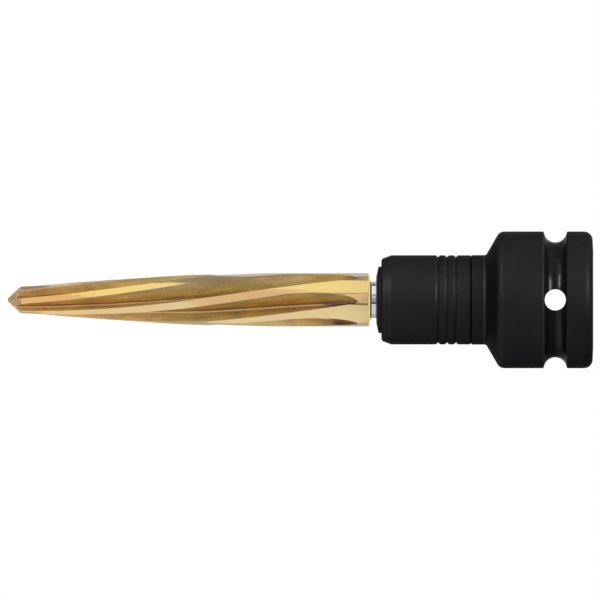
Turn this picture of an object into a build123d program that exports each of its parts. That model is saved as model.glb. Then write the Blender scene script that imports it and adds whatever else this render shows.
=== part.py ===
from build123d import *
import os
from math import atan, cos, degrees, pi, radians, sin, sqrt, tan

# A taper reamer with a hex shank, held in a quick-change adapter for an impact wrench.
# Millimetres. The tool stands on the adapter's drive face. Z is the common axis, from
# the drive face at z = 0 up to the reamer's point. The cross hole runs along Y.
# Turning angles are in degrees from +X towards +Y.

# Adapter, drive end
drive_dia = 44.0
drive_length = 30.1
drive_edge_round = 2.8
drive_face_flat_dia = 31.0
drive_face_drop = 0.3
shoulder_angle = 60.0
shoulder_round = 2.6
square_width = 19.2
square_depth = 25.0
square_corner_round = 0.8
square_lead_in = 1.0
square_floor_dia = 17.0
square_floor_angle = 59.0
cross_hole_dia = 6.8
ring_groove_height = 12.2
ring_groove_round = 3.7
ring_groove_depth = 3.5
ring_groove_lip_round = 0.5

# Adapter, neck and stem
neck_proud = 0.05
neck_length = 4.79
neck_fillet = 1.0
seam_chamfer = 0.35
stem_length = 30.5
nose_drop = 0.7
nose_flat_dia = 15.0
nose_edge_round = 0.4
hex_lead_in = 0.5

# Hex shank and its socket
hex_sides = 6
shank_flats = 11.11
shank_chamfer = 1.0
shank_neck_dia = 11.7
shank_neck_depth = 0.5
shank_root_round = 0.4
shank_groove_height = 9.5
shank_turn = -10.0
hex_clearance = 0.09
hex_socket_depth = 28.6
shank_end_gap = 0.3
collar_gap = 1.9

# Locking balls
ball_dia = 6.35
ball_count = 2
ball_seat_depth = 0.905
ball_lift = 1.1
ball_past_stem = 0.3
ball_clearance = 0.1
ball_hole_clearance = 0.1
ball_lip_width = 0.35
ball_lip_length = 0.95
ramp_clearance = 0.05

# Locking sleeve
sleeve_setback = 1.6
sleeve_travel = 4.0
sleeve_clearance = 0.08
sleeve_guide_length = 4.0
sleeve_wall = 2.05
nose_chamfer_length = 2.8
nose_chamfer_depth = 1.05
sleeve_face_drop = 0.4
sleeve_rim_round = 0.4
mouth_chamfer = 0.3
grip_count = 3
grip_pitch = 2.87
grip_first_height = 4.9
grip_width = 1.3
grip_depth = 0.6
grip_lip_round = 0.35
grip_floor_round = 0.2

# Spring, washer and retaining ring in the sleeve's mouth
ring_thickness = 1.0
ring_setback = 2.4
ring_groove_in_stem = 0.6
ring_stem_clearance = 0.03
ring_mouth_clearance = 0.3
ring_mouth_gap = 3.0
ring_side_clearance = 0.05
washer_thickness = 1.1
washer_clearance = 0.06
spring_wire_dia = 1.1
spring_turns = 3.2
spring_clearance = 0.1
spring_room = 0.4

# Reamer, fluted body
reamer_dia = 17.1
tip_dia = 8.85
body_length = 51.7
taper_length = 60.3
point_half_angle = 43.0
point_flat_dia = 1.0
collar_bevel = 0.4
collar_back_width = 0.5
collar_rim_round = 0.35
flute_count = 6
flute_lead = 365.6
cutting_edge_turn = 97.3
root_radius_body = 4.6
root_radius_tip = 2.8
root_round_body = 0.6
root_round_tip = 0.5
heel_round = 20.0
land_width_body = 2.6
land_width_tip = 1.75
wheel_radius = 87.5
run_out_height = 29.4
cutter_overhang = 3.0
cutter_end_overrun = 1.5
cutter_spacing = 8.0
run_out_spacing = 3.0

# The ball sinks into a groove round the shank and reaches a little past the stem. The
# sleeve clears the stem by the spring, and the neck stands just proud of the sleeve.
ball_radius = ball_dia / 2
ball_reach = shank_flats / 2 - ball_seat_depth + ball_radius
stem_dia = 2 * (ball_reach + ball_radius - ball_past_stem)
spring_outer = stem_dia / 2 + spring_clearance + spring_wire_dia
sleeve_recess = spring_outer + spring_room
sleeve_dia = 2 * (sleeve_recess + sleeve_wall)
neck_dia = sleeve_dia + 2 * neck_proud
socket_flats = shank_flats + 2 * hex_clearance

# Places along the axis
drive_radius = drive_dia / 2
shoulder_height = (drive_dia - neck_dia) / 2 / tan(radians(shoulder_angle))
neck_start = drive_length + shoulder_height
seam_height = neck_start + neck_length
nose_height = seam_height + stem_length
hex_floor_height = nose_height - hex_socket_depth
shank_end_height = hex_floor_height + shank_end_gap
ball_height = shank_end_height + shank_groove_height
collar_height = nose_height + collar_gap
body_start = collar_height + collar_bevel
taper_start = body_start + body_length
point_start = taper_start + taper_length
point_length = (tip_dia - point_flat_dia) / 2 / tan(radians(point_half_angle))
point_height = point_start + point_length

# The ball leans on the sleeve's ramp
ramp_slope = ball_lift / sleeve_travel
ramp_angle = atan(ramp_slope)
sleeve_bore = stem_dia / 2 + sleeve_clearance
ramp_radius_at_ball = ball_reach + (ball_radius + ramp_clearance) / cos(ramp_angle)
ramp_top_height = ball_height + (ramp_radius_at_ball - sleeve_bore) / ramp_slope
ramp_foot_height = ball_height + (ramp_radius_at_ball - sleeve_recess) / ramp_slope
spring_seat_height = ramp_top_height + sleeve_guide_length

# The ring, the washer and the spring are stacked in the sleeve's mouth
ring_top = nose_height - ring_setback
ring_bottom = ring_top - ring_thickness
washer_bottom = ring_bottom - washer_thickness
sleeve_front = nose_height - sleeve_setback

hidden_overlap = 1.0


def rounded(outline, corners):
    """Rounds the corners of a flat outline: each is given as a place and a radius."""
    for place, radius in corners:
        corner = outline.vertices().sort_by_distance((*place, 0))[0]
        outline = fillet(corner, radius)
    return outline


def turned(points, corners=(), cuts=()):
    """Turns an outline of (radius, height) points, less some cuts, about the axis."""
    outline = make_face(Polyline(*points, close=True))
    for cut in cuts:
        outline -= cut
    return revolve(Plane.XZ * rounded(outline, corners), Axis.Z)


def hex_bar(flats, bottom, top):
    """A hexagonal bar along the axis, in the turning position of the shank."""
    first_corner = shank_turn + 180 / hex_sides
    hexagon = RegularPolygon(flats / 2, hex_sides, major_radius=False, rotation=first_corner)
    return Pos(0, 0, bottom) * extrude(hexagon, top - bottom)


def corner_radius(flats):
    """The distance from the axis to a corner of a hexagon."""
    return flats / 2 / cos(pi / hex_sides)


def ball_places():
    """The turning angles of the balls: the first two opposite flats of the shank."""
    return [shank_turn + index * 360 / ball_count for index in range(ball_count)]


def ball_frame(angle):
    """A plane whose normal points outwards through the ball at this angle."""
    direction = Vector(cos(radians(angle)), sin(radians(angle)), 0)
    return Plane(origin=(0, 0, ball_height), x_dir=(0, 0, 1), z_dir=direction)


def ball_hole(angle):
    """The radial hole that guides a ball, with a narrow lip that keeps the ball in."""
    inner = socket_flats / 2
    wide = ball_radius + ball_hole_clearance
    narrow = wide - 2 * ball_lip_width
    lip_end = inner + ball_lip_length
    outline = Polyline(
        (0, inner - hidden_overlap),
        (narrow, inner - hidden_overlap),
        (narrow, inner),
        (wide, lip_end),
        (wide, stem_dia / 2 + hidden_overlap),
        (0, stem_dia / 2 + hidden_overlap),
        close=True,
    )
    bore = revolve(Plane.XZ * make_face(outline), Axis.Z)
    return ball_frame(angle) * bore


def adapter_outline():
    """The outside of the adapter's body, from the drive face to the nose."""
    r_neck = neck_dia / 2
    r_stem = stem_dia / 2
    return [
        (0, 0),
        (drive_face_flat_dia / 2, 0),
        (drive_radius, drive_face_drop),
        (drive_radius, drive_length),
        (r_neck, neck_start),
        (r_neck, seam_height - seam_chamfer),
        (r_neck - seam_chamfer, seam_height),
        (r_stem, seam_height),
        (r_stem, nose_height - nose_drop),
        (nose_flat_dia / 2, nose_height),
        (0, nose_height),
    ]


def adapter_body():
    """One steel turning: square drive end, neck, and a stem that holds the shank."""
    corners = [
        ((drive_radius, drive_face_drop), drive_edge_round),
        ((drive_radius, drive_length), shoulder_round),
        ((neck_dia / 2, neck_start), neck_fillet),
        ((stem_dia / 2, nose_height - nose_drop), nose_edge_round),
    ]
    groove, lips = ring_groove()
    body = turned(adapter_outline(), corners + lips, [groove])
    body -= square_socket()
    body -= cross_hole()
    body -= hex_socket()
    body -= snap_groove()
    for angle in ball_places():
        body -= ball_hole(angle)
    return body


def ring_groove():
    """The half-round groove for a rubber ring that holds the wrench's pin, and its lips."""
    centre_past_rim = ring_groove_round - ring_groove_depth
    half_width = sqrt(ring_groove_round ** 2 - centre_past_rim ** 2)
    centre = (drive_radius + centre_past_rim, ring_groove_height)
    lips = [
        ((drive_radius, ring_groove_height - half_width), ring_groove_lip_round),
        ((drive_radius, ring_groove_height + half_width), ring_groove_lip_round),
    ]
    return Pos(*centre) * Circle(ring_groove_round), lips


def square_socket():
    """The square drive socket, with a lead-in at its mouth and a drilled floor."""
    square = RectangleRounded(square_width, square_width, square_corner_round)
    well = extrude(square, square_depth)
    mouth_width = square_width + 2 * square_lead_in
    mouth = RectangleRounded(mouth_width, mouth_width, square_corner_round + square_lead_in)
    well += loft([mouth, Pos(0, 0, square_lead_in) * square])
    floor_radius = square_floor_dia / 2
    floor_depth = floor_radius / tan(radians(square_floor_angle))
    floor_centre = square_depth + floor_depth / 2
    return well + Pos(0, 0, floor_centre) * Cone(floor_radius, 0, floor_depth)


def cross_hole():
    """The hole across the drive end, through which the wrench's pin goes."""
    hole = Cylinder(cross_hole_dia / 2, drive_dia + 2 * hidden_overlap)
    return Pos(0, 0, ring_groove_height) * Rot(90, 0, 0) * hole


def hex_socket():
    """The hexagonal socket in the nose, with a drilled foot and a lead-in."""
    socket = hex_bar(socket_flats, hex_floor_height, nose_height)
    drill_depth = socket_flats / 2 / tan(radians(square_floor_angle))
    drill = Pos(0, 0, hex_floor_height - drill_depth / 2) * Cone(0, socket_flats / 2, drill_depth)
    mouth_radius = corner_radius(socket_flats) + hex_lead_in
    lead_in = turned([
        (0, nose_height),
        (mouth_radius, nose_height),
        (0, nose_height - mouth_radius),
    ])
    return socket + drill + lead_in


def snap_groove():
    """The square groove round the stem that holds the retaining ring."""
    bottom = ring_bottom
    top = ring_top + ring_side_clearance
    inner = stem_dia / 2 - ring_groove_in_stem
    outer = stem_dia / 2 + hidden_overlap
    return turned([(inner, bottom), (outer, bottom), (outer, top), (inner, top)])


def sleeve_outline():
    """The section of the sleeve: outside from the seam to the mouth, then the bore."""
    outer = sleeve_dia / 2
    mouth = sleeve_recess
    front_rim = outer - nose_chamfer_depth
    return [
        (sleeve_recess, seam_height),
        (outer - seam_chamfer, seam_height),
        (outer, seam_height + seam_chamfer),
        (outer, sleeve_front - sleeve_face_drop - nose_chamfer_length),
        (front_rim, sleeve_front - sleeve_face_drop),
        (mouth + mouth_chamfer, sleeve_front),
        (mouth, sleeve_front - mouth_chamfer),
        (mouth, spring_seat_height),
        (sleeve_bore, spring_seat_height),
        (sleeve_bore, ramp_top_height),
        (sleeve_recess, ramp_foot_height),
    ]


def grip_groove(index):
    """One of the shallow grooves that the fingers pull on, and its rounded corners."""
    height = seam_height + grip_first_height + index * grip_pitch
    outer = sleeve_dia / 2
    half = grip_width / 2
    floor = (outer - grip_depth, height)
    wedge = Polyline(
        floor,
        (outer, height + half),
        (outer + hidden_overlap, height + half),
        (outer + hidden_overlap, height - half),
        (outer, height - half),
        close=True,
    )
    corners = [
        (floor, grip_floor_round),
        ((outer, height - half), grip_lip_round),
        ((outer, height + half), grip_lip_round),
    ]
    return make_face(wedge), corners


def locking_sleeve():
    """The sleeve that is pulled towards the reamer to free the shank."""
    front_rim = (sleeve_dia / 2 - nose_chamfer_depth, sleeve_front - sleeve_face_drop)
    corners = [(front_rim, sleeve_rim_round)]
    grooves = []
    for index in range(grip_count):
        groove, groove_corners = grip_groove(index)
        grooves.append(groove)
        corners += groove_corners
    return turned(sleeve_outline(), corners, grooves)


def sleeve_spring():
    """The wire spring between the sleeve's seat and the washer."""
    bottom = spring_seat_height + spring_clearance + spring_wire_dia / 2
    top = washer_bottom - spring_clearance - spring_wire_dia / 2
    coil_radius = stem_dia / 2 + spring_clearance + spring_wire_dia / 2
    path = Pos(0, 0, bottom) * Helix((top - bottom) / spring_turns, top - bottom, coil_radius)
    section = Plane(origin=path @ 0, z_dir=path % 0) * Circle(spring_wire_dia / 2)
    return sweep(section, path, is_frenet=True)


def spring_washer():
    """The flat washer that the spring pushes against the retaining ring."""
    outer = sleeve_recess - washer_clearance
    inner = stem_dia / 2 + washer_clearance
    return turned([
        (inner, washer_bottom),
        (outer, washer_bottom),
        (outer, ring_bottom),
        (inner, ring_bottom),
    ])


def retaining_ring():
    """The split ring that snaps into the stem's groove and holds the washer."""
    inner = stem_dia / 2 - ring_groove_in_stem + ring_stem_clearance
    outer = sleeve_recess - ring_mouth_clearance
    ring = turned([(inner, ring_bottom), (outer, ring_bottom), (outer, ring_top), (inner, ring_top)])
    gap = Box(drive_dia, ring_mouth_gap, drive_dia, align=(Align.MIN, Align.CENTER, Align.CENTER))
    return ring - Pos(0, 0, ring_top) * gap


def locking_ball(angle):
    """A steel ball that locks the shank by its groove."""
    return ball_frame(angle) * Pos(0, 0, ball_reach) * Sphere(ball_radius)


def envelope_radius(height):
    """The radius of the reamer's lands at this height, run on past the point."""
    past_start = max(0, height - taper_start)
    return (reamer_dia - (reamer_dia - tip_dia) * past_start / taper_length) / 2


def along_taper(height, at_body, at_tip):
    """A size that changes evenly along the taper and stays put along the body."""
    share = max(0, height - taper_start) / taper_length
    return at_body + (at_tip - at_body) * share


def edge_angle(height):
    """The turning angle of a cutting edge, which is a left-hand helix."""
    return cutting_edge_turn - 360 * height / flute_lead


def wheel_lift(height):
    """How far the grinding wheel has left the flute at this height."""
    below = max(0, body_start + run_out_height - height)
    return wheel_radius - sqrt(wheel_radius ** 2 - below ** 2)


def circle_meeting(first, first_distance, second, second_distance):
    """The point at two given distances from two points, right of the line between them."""
    span = Vector(*second) - Vector(*first)
    along = (first_distance ** 2 - second_distance ** 2 + span.length ** 2) / 2 / span.length
    aside = sqrt(first_distance ** 2 - along ** 2)
    unit = span.normalized()
    return Vector(*first) + unit * along + Vector(unit.Y, -unit.X) * aside


def flute_section(height):
    """The outline of one flute's cutter, flat at this height.

    It is drawn with the cutting face on X: a root fillet runs from the cutting face
    into a long hollow heel that rises to the back edge of the next land.
    """
    radius = envelope_radius(height)
    root_radius = along_taper(height, root_radius_body, root_radius_tip)
    root_round = along_taper(height, root_round_body, root_round_tip)
    land_width = along_taper(height, land_width_body, land_width_tip)
    heel_angle = 2 * pi / flute_count - land_width / radius
    root_centre = Vector(sqrt((root_radius + root_round) ** 2 - root_round ** 2), root_round)
    heel = Vector(radius * cos(heel_angle), radius * sin(heel_angle))
    heel_centre = circle_meeting(root_centre, heel_round - root_round, heel, heel_round)
    root_end = heel_centre + (root_centre - heel_centre).normalized() * heel_round
    root_start = Vector(root_centre.X, 0)
    root_middle = root_centre - root_centre.normalized() * root_round
    overhang_turn = degrees(cutter_overhang / heel_round)
    past_heel = heel_centre + (heel - heel_centre).rotate(Axis.Z, -overhang_turn)
    heel_middle = heel_centre + ((root_end + past_heel) / 2 - heel_centre).normalized() * heel_round
    outside = radius + 2 * cutter_overhang
    crown = Vector(outside * cos(heel_angle / 2), outside * sin(heel_angle / 2))
    outer = Vector(outside, 0)
    outline = make_face([
        Line(outer, root_start),
        ThreePointArc(root_start, root_middle, root_end),
        ThreePointArc(root_end, heel_middle, past_heel),
        Line(past_heel, crown),
        Line(crown, outer),
    ])
    return Pos(0, 0, height) * Rot(0, 0, edge_angle(height)) * Pos(wheel_lift(height), 0, 0) * outline


def cutter_heights():
    """Heights of the sections: close together where the wheel leaves the flute."""
    low = body_start
    high = body_start + run_out_height
    close_steps = round((high - low) / run_out_spacing)
    heights = [low + (high - low) * step / close_steps for step in range(close_steps)]
    top = point_height + cutter_end_overrun
    wide_steps = round((top - high) / cutter_spacing)
    return heights + [high + (top - high) * step / wide_steps for step in range(wide_steps + 1)]


def reamer():
    """One piece of tool steel: pointed fluted body, collar and hex shank."""
    body_radius = reamer_dia / 2
    neck_radius = shank_neck_dia / 2
    neck_bottom = nose_height - shank_neck_depth
    corners = [
        ((neck_radius, collar_height), shank_root_round),
        ((body_radius, body_start), collar_rim_round),
    ]
    blank = turned([
        (0, neck_bottom),
        (neck_radius, neck_bottom),
        (neck_radius, collar_height),
        (neck_radius + collar_back_width, collar_height),
        (body_radius, body_start),
        (body_radius, taper_start),
        (tip_dia / 2, point_start),
        (point_flat_dia / 2, point_height),
        (0, point_height),
    ], corners)
    cutter = loft([flute_section(height) for height in cutter_heights()])
    for index in range(flute_count):
        blank -= Rot(0, 0, index * 360 / flute_count) * cutter
    return blank + hex_shank()


def hex_shank():
    """The hexagonal shank below the round neck, with its end chamfers and ball groove."""
    hex_top = nose_height - shank_neck_depth
    bar = hex_bar(shank_flats, shank_end_height, hex_top)
    corner = corner_radius(shank_flats)
    end_radius = corner - shank_chamfer
    neck_radius = shank_neck_dia / 2
    bar &= turned([
        (0, shank_end_height),
        (end_radius, shank_end_height),
        (corner, shank_end_height + shank_chamfer),
        (corner, hex_top - corner + neck_radius),
        (neck_radius, hex_top),
        (0, hex_top),
    ])
    groove = Torus(ball_reach, ball_radius + ball_clearance)
    return bar - Pos(0, 0, ball_height) * groove


def save(node, piece):
    """Writes one piece to its own file and prints its volume."""
    export_step(piece, f"parts/{node}.step")
    print(f"{node:18s} {piece.volume / 1000:8.3f} cm3")


os.makedirs("parts", exist_ok=True)
save("adapter_body", adapter_body())
save("locking_sleeve", locking_sleeve())
save("sleeve_spring", sleeve_spring())
save("spring_washer", spring_washer())
save("retaining_ring", retaining_ring())
for number, place in enumerate(ball_places(), 1):
    save(f"locking_ball_{number}", locking_ball(place))
save("reamer", reamer())
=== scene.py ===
# %% [markdown]
# # A taper reamer in a quick-change adapter
#
# The object is a tool for an impact wrench. A black steel adapter plugs onto the
# wrench's square, and a sleeve on its nose locks a gold-coated reamer by its hex
# shank. Its true sizes come from the frame that the first lines load, so this
# lesson is about how it looks: camera, light, steel finishes, and the small forms
# that a grinder leaves.

# %% Load the frame
import bpy
from math import cos, pi, radians, sin
from mathutils import Matrix, Vector


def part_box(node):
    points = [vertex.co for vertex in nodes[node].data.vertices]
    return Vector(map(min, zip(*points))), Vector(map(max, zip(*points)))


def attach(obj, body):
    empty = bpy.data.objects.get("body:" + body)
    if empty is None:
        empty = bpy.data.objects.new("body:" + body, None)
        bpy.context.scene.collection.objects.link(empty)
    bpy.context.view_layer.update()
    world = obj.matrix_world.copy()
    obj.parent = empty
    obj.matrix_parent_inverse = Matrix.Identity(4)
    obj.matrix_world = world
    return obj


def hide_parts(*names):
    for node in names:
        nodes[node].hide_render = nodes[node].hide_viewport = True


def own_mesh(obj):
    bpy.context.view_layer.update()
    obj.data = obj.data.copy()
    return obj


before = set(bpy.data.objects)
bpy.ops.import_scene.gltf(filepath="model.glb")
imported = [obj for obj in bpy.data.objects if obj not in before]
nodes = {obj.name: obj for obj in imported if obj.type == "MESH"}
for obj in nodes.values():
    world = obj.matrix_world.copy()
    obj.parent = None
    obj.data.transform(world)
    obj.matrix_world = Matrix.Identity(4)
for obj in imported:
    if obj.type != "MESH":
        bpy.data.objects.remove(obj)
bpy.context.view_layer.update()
for name in sorted(nodes):
    low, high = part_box(name)
    print(name, "reaches from", round(low[2], 4), "to", round(high[2], 4), "m along the axis")

# %% [markdown]
# ## The camera
#
# The picture shows the tool lying on its side, seen square on, with no perspective.
# In the frame it stands upright, so the camera looks level along +Y and is rolled a
# quarter turn: the picture's right is down the axis, and its top is +X. A camera
# could be aimed with a constraint, but three unit vectors say the roll plainly.

# %% Camera
picture_width_px = 600
metres_per_px = 0.0003217
drive_face_px = 593.2
axis_row_px = 299.85
camera_distance = 1.0

picture_right = Vector((0, 0, -1))
picture_up = Vector((1, 0, 0))
towards_camera = Vector((0, -1, 0))
middle = picture_width_px / 2
middle_height = (drive_face_px - middle) * metres_per_px
middle_shift = (axis_row_px - middle) * metres_per_px

camera_data = bpy.data.cameras.new("camera")
camera_data.type = "ORTHO"
camera_data.ortho_scale = picture_width_px * metres_per_px
camera = bpy.data.objects.new("camera", camera_data)
bpy.context.scene.collection.objects.link(camera)
turn = Matrix((picture_right, picture_up, towards_camera)).transposed().to_4x4()
place = towards_camera * camera_distance
place += picture_up * middle_shift + Vector((0, 0, middle_height))
camera.matrix_world = Matrix.Translation(place) @ turn
bpy.context.scene.camera = camera
print("camera sees", round(camera_data.ortho_scale, 4), "m across")

# %% [markdown]
# ## Arithmetic between nodes
#
# A finish is a graph of nodes, and most of it is sums. Drawing each Math node by
# hand hides the formula, so one small class wraps a socket and lets Python's own
# signs build the nodes. A second class holds one finish and adds any other node.

# %% A number on its way between nodes
class Flow:
    """A value between shader nodes that can be used in ordinary sums."""

    def __init__(self, finish, socket):
        self.finish = finish
        self.socket = socket

    def math(self, operation, *others):
        values = {0: self}
        values.update(enumerate(others, 1))
        return self.finish.node("ShaderNodeMath", {"operation": operation}, values)

    def reflected(self, operation, first):
        return self.finish.node("ShaderNodeMath", {"operation": operation}, {0: first, 1: self})

    def __add__(self, other):
        return self.math("ADD", other)

    def __radd__(self, other):
        return self.math("ADD", other)

    def __sub__(self, other):
        return self.math("SUBTRACT", other)

    def __rsub__(self, other):
        return self.reflected("SUBTRACT", other)

    def __mul__(self, other):
        return self.math("MULTIPLY", other)

    def __rmul__(self, other):
        return self.math("MULTIPLY", other)

    def __truediv__(self, other):
        return self.math("DIVIDE", other)

    def root(self):
        return self.math("SQRT")

    def clamp(self, low=0.0, high=1.0):
        return self.math("MAXIMUM", low).math("MINIMUM", high)

    def rise(self, start, end):
        """Goes evenly from 0 at start to 1 at end, and stays there."""
        return ((self - start) / (end - start)).clamp()


print("a Flow knows", ", ".join(name for name in vars(Flow) if not name.startswith("_")))

# %% A whole finish
class Finish:
    """One tree of nodes, for a surface or for the world."""

    def __init__(self, owner):
        owner.use_nodes = True
        self.owner = owner
        self.tree = owner.node_tree
        self.tree.nodes.clear()

    def node(self, kind, settings=None, inputs=None, output=0):
        """Adds a node: its settings first, then the values or links of its sockets."""
        made = self.tree.nodes.new(kind)
        for name, value in (settings or {}).items():
            if name == "stops":
                set_stops(made.color_ramp, value)
            else:
                setattr(made, name, value)
        for name, value in (inputs or {}).items():
            if isinstance(value, Flow):
                self.tree.links.new(value.socket, made.inputs[name])
            else:
                made.inputs[name].default_value = value
        if made.outputs:
            return Flow(self, made.outputs[output])

    def place(self):
        """The point's Object coordinates, in metres of the frame."""
        spot = self.node("ShaderNodeTexCoord", output="Object")
        parts = [self.node("ShaderNodeSeparateXYZ", inputs={0: spot}, output=n) for n in range(3)]
        return spot, parts

    def vector(self, x, y, z):
        return self.node("ShaderNodeCombineXYZ", inputs={0: x, 1: y, 2: z})

    def noise(self, vector, scale, detail=2.0):
        """Soft random values about one half, at so many cells a unit."""
        return self.node(
            "ShaderNodeTexNoise", inputs={"Vector": vector, "Scale": scale, "Detail": detail})

    def tint(self, amount, first, second):
        """A colour from the first, at amount 0, to the second, at amount 1."""
        inputs = {0: amount, 6: opaque(first), 7: opaque(second)}
        return self.node("ShaderNodeMix", {"data_type": "RGBA"}, inputs, output=2)

    def times(self, first, second):
        """Two colours multiplied, as a wash of one over the other."""
        inputs = {0: 1.0, 6: first, 7: second}
        settings = {"data_type": "RGBA", "blend_type": "MULTIPLY"}
        return self.node("ShaderNodeMix", settings, inputs, output=2)

    def bump(self, height, depth):
        """Tilts the surface by a height from 0 to 1 that stands for so many metres."""
        return self.node("ShaderNodeBump", inputs={"Height": height, "Distance": depth})

    def surface(self, **inputs):
        """Ends the finish in one Principled shader."""
        named = {name.replace("_", " "): value for name, value in inputs.items()}
        shader = self.node("ShaderNodeBsdfPrincipled", inputs=named)
        self.node("ShaderNodeOutputMaterial", inputs={"Surface": shader})
        return self.owner


def opaque(colour):
    """Adds full alpha to a colour of three numbers, and leaves a Flow alone."""
    return colour if isinstance(colour, Flow) else (*colour, 1.0)


def set_stops(ramp, stops):
    """Fills a ramp with (place, colour) stops."""
    while len(ramp.elements) < len(stops):
        ramp.elements.new(1.0)
    for element, (where, colour) in zip(ramp.elements, stops):
        element.position = where
        element.color = opaque(colour)


print("a Finish knows", ", ".join(name for name in vars(Finish) if not name.startswith("_")))

# %% [markdown]
# ## Studio
#
# The picture has a pure white ground and very soft light. The world is plain white
# to the camera and to mirror-like reflections, and weaker to matt surfaces, so that
# the ground is white without flooding the tool with light.

# %% World
matt_light = 0.2
world = bpy.data.worlds.new("studio")
bpy.context.scene.world = world
sky = Finish(world)
seen = sky.node("ShaderNodeLightPath", output="Is Camera Ray")
mirrored = sky.node("ShaderNodeLightPath", output="Is Glossy Ray")
through = sky.node("ShaderNodeLightPath", output="Is Transmission Ray")
white_to = seen.math("MAXIMUM", mirrored).math("MAXIMUM", through)
glow = sky.node(
    "ShaderNodeBackground",
    inputs={"Color": (1, 1, 1, 1), "Strength": white_to * (1 - matt_light) + matt_light},
)
sky.node("ShaderNodeOutputWorld", inputs={"Surface": glow})
bpy.context.scene.view_settings.view_transform = "Standard"
print("world: white to the camera,", matt_light, "to matt surfaces")

# %% [markdown]
# ## Lamps
#
# Two soft boxes stand above and in front of the tool, one towards each end, and
# draw the thin streaks in its grooves. In the picture the gold part shows no sign
# of them, as if it had been lit apart, so light linking keeps them to the black
# parts. A broad overhead lamp and a low front one light everything. A lamp's power
# is worked out from how bright its face is and how large it is, so that making it
# larger only makes it softer.

# %% Lamps
tool_middle = Vector((0, 0, 0.09))


def around(angle, distance, lean=0.0):
    """A place beside the axis: its angle goes from the camera's side up to +X."""
    flat = picture_up * sin(radians(angle)) + towards_camera * cos(radians(angle))
    tilted = flat * cos(radians(lean)) + Vector((0, 0, 1)) * sin(radians(lean))
    return tool_middle + tilted * distance


def soft_lamp(name, place, width, length, brightness, only_on=()):
    """A flat lamp aimed at the tool: with nodes to light only, they mirror it too."""
    data = bpy.data.lights.new(name, "AREA")
    data.shape = "RECTANGLE"
    data.size = width
    data.size_y = length
    data.energy = brightness * pi * width * length
    lamp = bpy.data.objects.new(name, data)
    bpy.context.scene.collection.objects.link(lamp)
    aim = (tool_middle - place).to_track_quat("-Z", "Y")
    lamp.matrix_world = Matrix.Translation(place) @ aim.to_matrix().to_4x4()
    lamp.visible_glossy = bool(only_on)
    lamp.visible_camera = False
    if only_on:
        lit = bpy.data.collections.new(name + "_lights")
        for node in only_on:
            lit.objects.link(nodes[node])
        lamp.light_linking.receiver_collection = lit
    print(name, "gives", round(data.energy, 2), "W")


black_parts = ["adapter_body", "locking_sleeve"]
by_point = around(42, 0.49, lean=31.5)
by_drive = around(34, 0.63, lean=-52.8)
soft_lamp("box_by_point", by_point, width=0.19, length=0.12, brightness=14.0, only_on=black_parts)
soft_lamp("box_by_drive", by_drive, width=0.24, length=0.155, brightness=18.0, only_on=black_parts)
soft_lamp("overhead", around(50, 0.9), width=0.7, length=1.0, brightness=0.8)
soft_lamp("low_front", around(-25, 0.9), width=0.5, length=0.8, brightness=0.5)

# %% [markdown]
# ## Cards
#
# Polished steel shows its surroundings, so a white room makes it look flat. A
# photographer stands grey and black cards beside the tool, and each leaves a band
# along it. These cards are only seen in reflections: they block no light, and no
# camera sees them. The angle of each is where it stands round the axis.
#
# A round bar mirrors what is level with it. So the cards can come in tiers, and
# the adapter, the neck and the reamer each have their own. A rough surface mixes
# what is near the mirrored spot, and it mixes less when the card is nearer.

# %% How a card is made
far = 0.6
end_card_width = 1.6
cards = []


def show_paper(made, name, colour):
    """Makes a stage piece glow in its colour, but only in reflections."""
    made.name = name
    made.visible_camera = made.visible_diffuse = made.visible_shadow = False
    made.visible_transmission = made.visible_volume_scatter = False
    paper = Finish(bpy.data.materials.new(name))
    light = paper.node("ShaderNodeEmission", inputs={"Color": opaque(colour)})
    paper.node("ShaderNodeOutputMaterial", inputs={"Surface": light})
    made.data.materials.append(paper.owner)
    cards.append(made)


def card(name, start, end, low, high, colour, distance=far):
    """An upright card that fills the view from one angle to another."""
    reach = distance * cos(radians((end - start) / 2))
    width = 2 * distance * sin(radians((end - start) / 2))
    bpy.ops.object.select_all(action="DESELECT")
    bpy.ops.mesh.primitive_plane_add(size=1)
    made = bpy.context.object
    outward = around((start + end) / 2, 1.0) - tool_middle
    sideways = Vector((0, 0, 1)).cross(outward)
    middle_z = Vector((0, 0, (low + high) / 2))
    turn = Matrix((sideways, Vector((0, 0, 1)), outward)).transposed().to_4x4()
    size = Matrix.Diagonal((width, high - low, 1, 1))
    made.data.transform(Matrix.Translation(outward * reach + middle_z) @ turn @ size)
    show_paper(made, name, colour)


def end_card(name, height, colour):
    """A level card across the tool's axis."""
    bpy.ops.object.select_all(action="DESELECT")
    bpy.ops.mesh.primitive_plane_add(size=end_card_width, location=(0, 0, height))
    show_paper(bpy.context.object, name, colour)


print("a card stands", far, "m from the axis unless it is told otherwise")

# %% [markdown]
# ## Cards by the adapter
#
# Dull black steel mirrors softly, so five wide grey cards are enough. They grow
# lighter from below, over the front and the top, to the back.

# %% Cards by the adapter
card_low = -0.6
neck_start = 0.0698
card("fill_by_adapter", -100.0, -19.0, card_low, neck_start, (0.24, 0.25, 0.27))
card("front_by_adapter", -19.0, 20.0, card_low, neck_start, (0.30, 0.30, 0.31))
card("key_by_adapter", 20.0, 100.0, card_low, neck_start, (0.50, 0.50, 0.50))
card("back_by_adapter", 100.0, 180.0, card_low, neck_start, (0.66, 0.66, 0.66))
card("below_adapter", -180.0, -100.0, card_low, neck_start, (0.22, 0.22, 0.21))
print(len(cards), "cards stand by the adapter")

# %% [markdown]
# ## Cards by the reamer
#
# The gold lands are smooth and show each card, so their colours count: bluish below,
# pinkish in front, nearly white above, and a blue streak over the top. The edge
# between front and above has another angle by the collar, by the flutes and by the
# taper. The taper leans back, so it mirrors what stands higher, and its cards begin
# above the tool's point.

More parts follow.
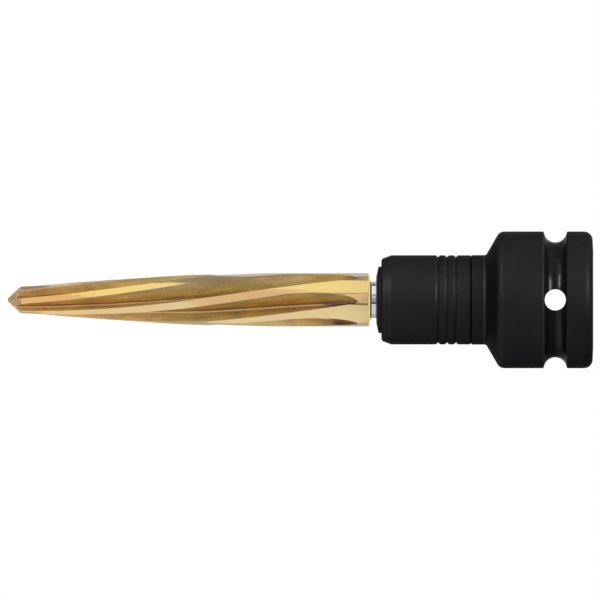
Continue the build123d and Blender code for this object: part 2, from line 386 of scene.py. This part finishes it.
# %% Cards by the reamer
card_high = 0.8
flutes_start = 0.095
flutes_end = 0.2
card("fill_by_reamer", -120.0, -19.0, neck_start, card_high, (0.85, 0.87, 1.06))
card("front_by_reamer", -19.0, 28.0, neck_start, flutes_start, (0.80, 0.67, 0.74))
card("key_by_reamer", 28.0, 91.0, neck_start, flutes_start, (1.00, 1.00, 0.88))
card("front_by_flutes", -19.0, 42.0, flutes_start, flutes_end, (0.80, 0.67, 0.74))
card("key_by_flutes", 42.0, 91.0, flutes_start, flutes_end, (1.02, 1.02, 0.90))
card("front_by_taper", -19.0, 31.0, flutes_end, card_high, (0.84, 0.71, 0.74))
card("key_by_taper", 31.0, 91.0, flutes_end, card_high, (1.02, 1.02, 0.90))
card("below_reamer", -180.0, -120.0, neck_start, card_high, (0.52, 0.53, 0.58))
card("gap_over_reamer", 91.0, 126.0, neck_start, card_high, (0.31, 0.32, 0.46))
card("streak_over_reamer", 126.0, 146.0, neck_start, card_high, (0.62, 0.74, 1.30))
card("back_by_reamer", 146.0, 180.0, neck_start, card_high, (0.46, 0.44, 0.46))
print(len(cards), "cards, with those by the reamer")

# %% [markdown]
# ## Cards by the collar, the neck and the ring groove
#
# Thin dark lines run along the collar and the neck in the picture, like gaps between
# white panels. Narrow dark cards make them, nearer than the panels behind. The neck
# shows for two millimetres, so its cards stand close to it. The ring groove is
# darker than what surrounds it, so it has two dark cards of its own.

# %% Cards by the collar, the neck and the ring groove
in_front = 0.5
near = 0.06
neck_end = 0.0719
collar_end = 0.084
straight_end = 0.1
groove_start = 0.0102
groove_end = 0.0142
card("gap_below_front", -23.0, -15.5, neck_end, straight_end, (0.02, 0.02, 0.04), in_front)
card("front_by_collar", -15.5, 26.0, neck_end, collar_end, (0.96, 0.84, 0.95), in_front)
card("gap_above_front", 26.0, 30.5, neck_end, flutes_start, (0.40, 0.34, 0.30), in_front)
card("fill_by_neck", -100.0, -25.0, neck_start, neck_end, (0.76, 0.78, 0.82), near)
card("gap_below_neck", -25.0, -14.0, neck_start, neck_end, (0.01, 0.01, 0.01), near)
card("low_front_by_neck", -14.0, 10.0, neck_start, neck_end, (0.36, 0.34, 0.34), near)
card("front_by_neck", 10.0, 26.5, neck_start, neck_end, (0.66, 0.64, 0.64), near)
card("line_by_neck", 26.5, 33.0, neck_start, neck_end, (0.12, 0.12, 0.12), near)
card("key_by_neck", 33.0, 97.0, neck_start, neck_end, (1.10, 1.10, 1.04), near)
card("gap_over_neck", 97.0, 113.0, neck_start, neck_end, (0.00, 0.00, 0.00), near)
card("back_by_neck", 113.0, 180.0, neck_start, neck_end, (0.52, 0.52, 0.54), near)
card("below_neck", -180.0, -100.0, neck_start, neck_end, (0.50, 0.50, 0.52), near)
card("gap_by_groove", -10.0, 75.0, groove_start, groove_end, (0.00, 0.00, 0.00), near)
card("gap_over_groove", 75.0, 110.0, groove_start, groove_end, (0.25, 0.25, 0.25), near)
print(len(cards), "cards, with those by the collar, the neck and the groove")

# %% [markdown]
# ## Cards beyond the ends
#
# Some faces lean so far that they mirror what lies beyond an end: the blunt point and
# the adapter's shoulder at one end, and the round edge of its drive face at the
# other. A level grey card closes the room at each end.

# %% Cards beyond the ends
end_card("beyond_point", card_high, (0.36, 0.35, 0.33))
end_card("beyond_drive", card_low, (0.30, 0.30, 0.30))
print(len(cards), "cards reach from", card_low, "to", card_high, "m along the axis")

# %% [markdown]
# ## Black steel
#
# The adapter and its sleeve are turned from steel and then blackened in a hot bath,
# which leaves a thin matt crust. Three things show: rings from the lathe, a very
# fine grain, and a slow change of tone. The rings depend on height and distance
# from the axis together, so they run round cylinders, cones and end faces alike.
#
# Handling marks it too. A retaining ring polishes its groove, and hands wear the
# edges of the grips smoother. One lip of each grip groove, the groove's lip and the
# foot of the neck are painted brighter, as painted highlights, and the cone below the
# neck and the seam behind the sleeve are painted darker, as painted shade. All these marks follow
# the height, so they need no mask.

# %% Black steel
seam_height = 0.03928
cone_low = 0.0310
cone_high = 0.0346
cone_painted_shade = 0.45
seam_painted_shade = 0.9
soft = 0.00015
slant = 0.7
rings_per_metre = 5200
grains_per_metre = 3800
tones_per_metre = 90
bump_depth = 0.00001


def zone(height, low, high):
    """Is 1 between two heights and fades to 0 beyond them."""
    return height.rise(low - soft, low) * (1 - height.rise(high, high + soft))


def black_steel(name, roughness, marks):
    """Each mark is two heights, how much smoother it is rubbed, and how much brighter it is
    painted, as a painted highlight.
    """
    finish = Finish(bpy.data.materials.new(name))
    spot, (x, y, z) = finish.place()
    reach = (x * x + y * y).root()
    along = z + reach * slant
    rings = finish.noise(finish.vector(along, 0.0, 0.0), rings_per_metre, 2.0)
    grain = finish.noise(spot, grains_per_metre, 3.0)
    tone = finish.noise(spot, tones_per_metre, 3.0)
    # The seam is painted darker: a painted shade in the gap between sleeve and neck.
    seam = 1 - (z - seam_height).math("ABSOLUTE").rise(soft, soft * 2)
    rubbed = 0.0
    # Painted shade darkens the cone and the seam, and the marks add painted highlights.
    level = 1 - zone(z, cone_low, cone_high) * cone_painted_shade - seam * seam_painted_shade
    for low, high, smoother, brighter in marks:
        mark = zone(z, low, high)
        rubbed = mark * smoother + rubbed
        level = mark * (brighter - 1) + level
    colour = finish.tint(tone, (0.0182, 0.0184, 0.0186), (0.0292, 0.0292, 0.0290))
    return finish.surface(
        Base_Color=finish.times(colour, finish.vector(level, level, level)),
        Metallic=0.7,
        Roughness=roughness + 0.12 * tone + 0.06 * rings - rubbed,
        Specular_Tint=(0.30, 0.30, 0.30, 1),
        Specular_IOR_Level=0.1,
        Normal=finish.bump((rings * 0.4 + grain * 0.6) * (1 - rubbed * 2.8), bump_depth),
    )


# The polished groove is a real polish. The groove's lip and the neck's foot are painted highlights.
polished_groove = (0.0087, 0.0155, 0.30, 1.0)
groove_lip_painted_highlight = (0.0157, 0.0161, 0.00, 2.4)
neck_foot_painted_highlight = (0.0349, 0.0352, 0.06, 2.0)
# One lip of each grip groove is rubbed smoother by hands, and painted brighter as a painted
# highlight.
grip_edges = [(0.04450, 0.04474), (0.04740, 0.04764), (0.05029, 0.05053)]
worn_grips_painted_highlight = [(low, high, 0.16, 2.1) for low, high in grip_edges]
black = black_steel("black_steel", 0.44, [polished_groove, groove_lip_painted_highlight, neck_foot_painted_highlight])
black_sleeve = black_steel("black_sleeve", 0.42, worn_grips_painted_highlight)
print(black.name, "has", len(black.node_tree.nodes), "nodes")
print(black_sleeve.name, "has", len(black_sleeve.node_tree.nodes), "nodes")

# %% [markdown]
# ## Gold coating
#
# A reamer is hardened, ground and then coated with a hard nitride, a few thousandths
# of a millimetre thick. Its lands are ground round and gleam. Its flutes are ground
# lengthwise by a coarser wheel, and the coat there is duller and varies from olive
# to orange. So the finish has to know where a point is: its depth below the lands
# comes from its distance to the axis, and its place across a flute from its turning
# angle less the twist of the helix.

# %% Where on the reamer a point is
land_radius = 0.00855
tip_radius = 0.004425
taper_start = 0.123778
point_start = 0.184078
point_slope = 1.0724
flutes = 6
flute_lead = 0.3656
edge_turn = 97.3
behind_edge = 0.05


def reamer_places(finish):
    """The depth below the lands, and the part of the way from one cutting edge to the next."""
    spot, (x, y, z) = finish.place()
    reach = (x * x + y * y).root()
    slope = (land_radius - tip_radius) / (point_start - taper_start)
    envelope = land_radius - slope * (z - taper_start).math("MAXIMUM", 0.0)
    cone = tip_radius - point_slope * (z - point_start)
    depth = envelope.math("MINIMUM", cone) - reach
    turn = y.math("ARCTAN2", x) / (2 * pi) - edge_turn / 360 + z / flute_lead
    across = (turn * flutes + behind_edge).math("FRACT") - behind_edge
    return spot, z, reach, depth, across


print("the taper runs from", round(taper_start, 4), "to", round(point_start, 4), "m")

# %% [markdown]
# ## Zones of the reamer
#
# Each zone is a mask from 0 to 1: the flutes, the bare steel of the neck, the blunt
# point, and the bevel behind the collar. The frame's meshes stay as they are, so no
# mask is painted on them, and each is worked out from height and depth. On the taper
# the mesh lies slightly below the true land, so a point counts as flute only when it
# is a little deeper.

# %% Zones of the reamer
land_depth = 0.00003
flute_depth = 0.00007
taper_slack = 0.00007
bare_below = 0.07172
steel_fade = 0.00005
point_fade = 0.0001
bevel_fading = 0.07210
bevel_end = 0.07240


def reamer_zones(z, depth):
    """Where the flutes, the bare steel, the point and the collar's bevel are."""
    shallow = z.rise(straight_end, taper_start) * taper_slack
    flute = (depth - shallow).rise(land_depth, flute_depth)
    steel = 1 - z.rise(bare_below - steel_fade, bare_below + steel_fade)
    point = z.rise(point_start - point_fade, point_start + point_fade)
    bevel = (1 - z.rise(bevel_fading, bevel_end)) * (1 - steel)
    return flute, steel, point, bevel


print("the steel is bare up to", bare_below, "m")

# %% [markdown]
# ## What the wheel leaves
#
# Three noises give the look of grinding: strokes drawn out along the flute, patches some
# millimetres long, and specks. Strokes and patches use the place across the flute
# for a coordinate, so they run with the helix.

# %% Strokes, patches and specks
stroke_cells = (22, 2600, 60)
patch_cells = (5, 500, 120)
specks_per_metre = 2600


def wheel_marks(finish, spot, z, reach, across):
    """Each noise is from 0 to 1. Its cells are per flute, per metre out and along."""

    def drawn_out(cells, detail):
        vector = finish.vector(across * cells[0], reach * cells[1], z * cells[2])
        return finish.noise(vector, 1.0, detail)

    strokes = drawn_out(stroke_cells, 2.0)
    patches = drawn_out(patch_cells, 4.0)
    specks = finish.noise(spot, specks_per_metre, 2.0)
    return strokes, patches, specks


print("a stroke is about", round(1000 / stroke_cells[2]), "mm long")

# %% [markdown]
# ## Colours across a flute
#
# A ramp colours the flute from its cutting edge to its back edge. The face behind the
# edge is painted bright, a painted highlight, and the root next to it is painted darkest,
# a painted shade in the hollow. This dark line fades where the wheel leaves the flute. The coat
# isn't even, so the noises mottle the ramp's colours and turn some of them towards orange.

# %% Colours across a flute
face_end = 0.05
root_start = 0.09
run_out_start = 0.076
run_out_end = 0.088
warmth_per_metre = 900
# The first two stops are a painted highlight on the face, and the next two a painted shade in the
# root.
across_a_flute = [
    (0.00, (1.00, 0.86, 0.46)),
    (face_end, (0.97, 0.82, 0.42)),
    (root_start, (0.42, 0.31, 0.24)),
    (0.13, (0.28, 0.20, 0.17)),
    (0.19, (0.40, 0.28, 0.17)),
    (0.28, (0.68, 0.46, 0.13)),
    (0.45, (0.70, 0.55, 0.19)),
    (0.75, (0.73, 0.61, 0.34)),
]


def flute_colours(finish, spot, z, across, marks):
    strokes, patches, specks = marks
    run_out = 1 - z.rise(run_out_start, run_out_end)
    where = across + (patches - 0.5) * 0.15 + run_out * 0.2
    bands = finish.node("ShaderNodeValToRGB", {"stops": across_a_flute}, {0: where})
    mottle = (patches - 0.5) * 1.1 + (specks - 0.5) * 0.9 + (strokes - 0.5) * 0.5
    rough_gold = finish.tint((mottle + 0.5).clamp(), (0.50, 0.47, 0.43), (1.26, 1.22, 1.16))
    warmth = finish.noise(spot, warmth_per_metre, 3.0)
    warm = ((patches - 0.5) * 1.2 + (warmth - 0.5) * 1.6 + 0.5).clamp()
    warmed = finish.tint(warm, (0.97, 1.01, 1.06), (1.06, 0.95, 0.80))
    return finish.times(finish.times(bands, rough_gold), warmed)


print("a flute's ramp has", len(across_a_flute), "stops")

# %% [markdown]
# ## Colours of the smooth parts
#
# Lands and collar are ground smooth, and the blunt point is gritty. Washes by height
# go over all of it: the flutes are darker near the collar, everything is warmer
# towards the point, and the cutting faces are a little darker before it. A wash
# multiplies, so what lies under it keeps its pattern.

# %% Colours of the smooth parts, and washes
collar_wash_end = 0.094
point_wash_start = 0.135
face_wash_end = 0.155
point_wash_end = 0.165
unchanged = (1.0, 1.0, 1.0)


def smooth_colours(finish, point, marks):
    _, patches, specks = marks
    land_colour = finish.tint(patches, (0.86, 0.62, 0.29), (0.90, 0.70, 0.28))
    grit = ((specks - 0.5) * 3.0 + (patches - 0.5) * 1.5 + 0.5).clamp()
    point_colour = finish.tint(grit, (0.62, 0.40, 0.23), (1.00, 0.88, 0.54))
    return finish.tint(point, land_colour, point_colour)


def wash(finish, colour, z, across, flute, bevel):
    """Multiplies a colour by the washes near the collar and near the point."""
    near_point = finish.tint(
        z.rise(point_wash_start, point_wash_end), unchanged, (1.05, 0.97, 0.88))
    near_collar = finish.tint(
        z.rise(run_out_start, collar_wash_end), (0.64, 0.53, 0.54), unchanged)
    flute_wash = finish.tint(flute * (1 - bevel), unchanged, near_collar)
    before_point = 1 - z.rise(point_wash_start, face_wash_end)
    face = (1 - across.rise(face_end, root_start)) * before_point * flute
    face_wash = finish.tint(face, unchanged, (0.94, 0.93, 0.85))
    for layer in (near_point, flute_wash, face_wash):
        colour = finish.times(colour, layer)
    return colour


print("the point's wash begins", round(point_start - point_wash_start, 4), "m below the point")

# %% [markdown]
# ## The gold finish
#
# The zones choose between the colours, and dull surfaces are those that the wheel
# left rough. The bevel behind the collar faces the adapter's black nose, two
# millimetres away, and would look black. In the picture it is a bright line, as light
# gets in all round, so a glow of its own stands in for that light.

# %% Gold finish
bevel_start = 0.07174
bevel_lit = 0.07182
turning_rings_per_metre = 9000


def gold_coating():
    finish = Finish(bpy.data.materials.new("gold_coating"))
    spot, z, reach, depth, across = reamer_places(finish)
    flute, steel, point, bevel = reamer_zones(z, depth)
    marks = wheel_marks(finish, spot, z, reach, across)
    strokes, _, specks = marks
    ground = flute_colours(finish, spot, z, across, marks)
    smooth = smooth_colours(finish, point, marks)
    coated = finish.tint(flute * (1 - bevel), smooth, ground)
    washed = wash(finish, coated, z, across, flute, bevel)
    glow = bevel * z.rise(bevel_start, bevel_lit)
    turned = finish.noise(finish.vector(z, 0.0, 0.0), turning_rings_per_metre, 1.0)
    dull = flute.math("MAXIMUM", point) * (1 - steel)
    taper = z.rise(straight_end, taper_start) * 0.07
    height = (strokes + specks * 0.6) * dull + turned * (1 - dull) * 0.06
    return finish.surface(
        Base_Color=finish.tint(steel, washed, (0.74, 0.75, 0.78)),
        Metallic=1 - bevel * 0.85,
        Roughness=0.08 + taper + dull * (0.32 + 0.16 * strokes) + bevel * 0.4,
        Emission_Color=finish.tint(glow, (0.0, 0.0, 0.0), (0.82, 0.62, 0.22)),
        Emission_Strength=1.0,
        Normal=finish.bump(height, bump_depth),
    )


gold = gold_coating()
print(gold.name, "has", len(gold.node_tree.nodes), "nodes")

# %% [markdown]
# ## Plain steel parts
#
# The locking balls and the washer are bright. The spring and the split ring are
# hardened wire, darker and a little oily. They hide inside the sleeve: only the
# ring shows, in the sleeve's mouth, until the parts are taken out one by one.

# %% Plain steel parts
clouds_per_metre = 700
scratches_per_metre = 2200
scratch_depth = 0.000004


def plain_steel(name, dark, light, roughness):
    finish = Finish(bpy.data.materials.new(name))
    spot, (x, y, z) = finish.place()
    clouds = finish.noise(spot, clouds_per_metre, 3.0)
    scratches = finish.noise(finish.vector(x, y, z * 12), scratches_per_metre, 2.0)
    return finish.surface(
        Base_Color=finish.tint(clouds, dark, light),
        Metallic=1.0,
        Roughness=roughness + 0.10 * clouds + 0.06 * scratches,
        Normal=finish.bump(scratches, scratch_depth),
    )


bright = plain_steel("bright_steel", (0.62, 0.62, 0.63), (0.76, 0.76, 0.78), 0.14)
wire = plain_steel("spring_wire", (0.24, 0.23, 0.22), (0.40, 0.39, 0.38), 0.28)
print(bright.name, "and", wire.name, "are made by one function")

# %% [markdown]
# ## Finishes on their pieces
#
# Each solid from the frame gets one finish, all but the spring, which is built anew
# below. The old slots are cleared and the finish goes into a single new one, so no
# face has to be chosen.

# %% Finishes on their pieces
finishes = {
    "adapter_body": black,
    "locking_sleeve": black_sleeve,
    "spring_washer": bright,
    "retaining_ring": wire,
    "locking_ball_1": bright,
    "locking_ball_2": bright,
    "reamer": gold,
}
for name, material in finishes.items():
    mesh = nodes[name].data
    mesh.materials.clear()
    mesh.materials.append(material)
print(len(finishes), "pieces have their finish")

# %% [markdown]
# ## The sleeve's spring
#
# The spring pushes the sleeve back against the neck. Its first and last turns lie
# closed and are ground flat, so that it stands square in its seat. A circle of
# wire is swept by a Screw modifier, the rings are then moved to their true heights,
# and two bisects grind the ends. A bisect leaves points alone that lie within its
# threshold of the cut, a tenth of a millimetre unless told otherwise, which is too
# much for thin wire.

# %% Wire and coil
washer_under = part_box("spring_washer")[0][2]
spring_low, spring_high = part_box("sleeve_spring")
wire_dia = 0.0011
spring_clearance = 0.0001
coil_radius = spring_high[0] - wire_dia / 2
seat_height = spring_low[2] - spring_clearance
rest_length = washer_under - seat_height
wire_sides = 14
coil_turns = 4
steps_per_turn = 40
ground_off = 0.00025
end_gap = 0.00002
cut_threshold = 0.000001

bpy.ops.object.select_all(action="DESELECT")
bpy.ops.mesh.primitive_circle_add(
    vertices=wire_sides, radius=wire_dia / 2, location=(coil_radius, 0, 0), rotation=(pi / 2, 0, 0))
spring = bpy.context.object
spring.name = "spring_coil"
bpy.ops.object.transform_apply(location=True, rotation=True, scale=True)
sweep = spring.modifiers.new("sweep", "SCREW")
sweep.angle = 2 * pi * coil_turns
sweep.steps = steps_per_turn * coil_turns
sweep.render_steps = sweep.steps
sweep.screw_offset = 0.0
sweep.use_merge_vertices = False
bpy.ops.object.modifier_apply(modifier="sweep")
rings = len(spring.data.vertices) // wire_sides
print("the wire has", rings, "rings round", coil_turns, "turns")

# %% Heights of the turns
centre_low = seat_height + wire_dia / 2 - ground_off
centre_high = washer_under - wire_dia / 2 + ground_off
open_pitch = (centre_high - centre_low - 2 * wire_dia) / (coil_turns - 2)


def wire_height(turns):
    """The height of the wire's centre after so many turns."""
    closed = min(turns, 1) + max(turns - (coil_turns - 1), 0)
    return centre_low + closed * wire_dia + (turns - closed) * open_pitch


for number, vertex in enumerate(spring.data.vertices):
    vertex.co.z += wire_height(number // wire_sides / steps_per_turn)
print("the open turns rise", round(open_pitch * 1000, 2), "mm each")

# %% Ends
bpy.ops.object.mode_set(mode="EDIT")
bpy.ops.mesh.select_all(action="SELECT")
bpy.ops.mesh.normals_make_consistent(inside=False)
bpy.ops.mesh.select_non_manifold(extend=False)
bpy.ops.mesh.fill_holes(sides=wire_sides)
for height, side in ((seat_height, -1), (washer_under, 1)):
    bpy.ops.mesh.select_all(action="SELECT")
    bpy.ops.mesh.bisect(
        plane_co=(0, 0, height - side * end_gap), plane_no=(0, 0, side),
        use_fill=True, clear_outer=True, threshold=cut_threshold)
bpy.ops.mesh.select_all(action="SELECT")
bpy.ops.mesh.normals_make_consistent(inside=False)
bpy.ops.object.mode_set(mode="OBJECT")
bpy.ops.object.shade_smooth_by_angle(angle=radians(40))
spring.data.materials.append(wire)
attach(spring, "adapter")
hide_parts("sleeve_spring")
sleeve_travel = 0.004
(rest_length - sleeve_travel) / rest_length
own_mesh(spring)
print("the spring has", len(spring.data.polygons), "faces")

# %% [markdown]
# ## Floor
#
# The tool stands on its drive face on a plain pale floor. The picture sees the floor
# edge-on, so it shows only from other sides. It gives its own light to the camera
# alone, which keeps it pale under soft light, and it still takes the tool's shadow.
# It blocks no light and shows in no reflection, so the box and the cards beyond the
# drive end act as if it weren't there.

# %% Floor
floor_glow = 0.52
floor_width = 4
bpy.ops.object.select_all(action="DESELECT")
bpy.ops.mesh.primitive_plane_add(size=floor_width, location=(0, 0, 0))
floor = bpy.context.object
floor.name = "floor"
floor.visible_shadow = floor.visible_glossy = False
pale = Finish(bpy.data.materials.new("pale_floor"))
looked_at = pale.node("ShaderNodeLightPath", output="Is Camera Ray")
pale.surface(
    Base_Color=(0.8, 0.8, 0.8, 1),
    Roughness=0.9,
    Specular_IOR_Level=0.0,
    Emission_Color=(1, 1, 1, 1),
    Emission_Strength=looked_at * floor_glow,
)
floor.data.materials.append(pale.owner)
print("the floor is", floor_width, "m wide and glows at", floor_glow)

# %% [markdown] ## Sizes The dressed tool has to be as large as the frame's solids.
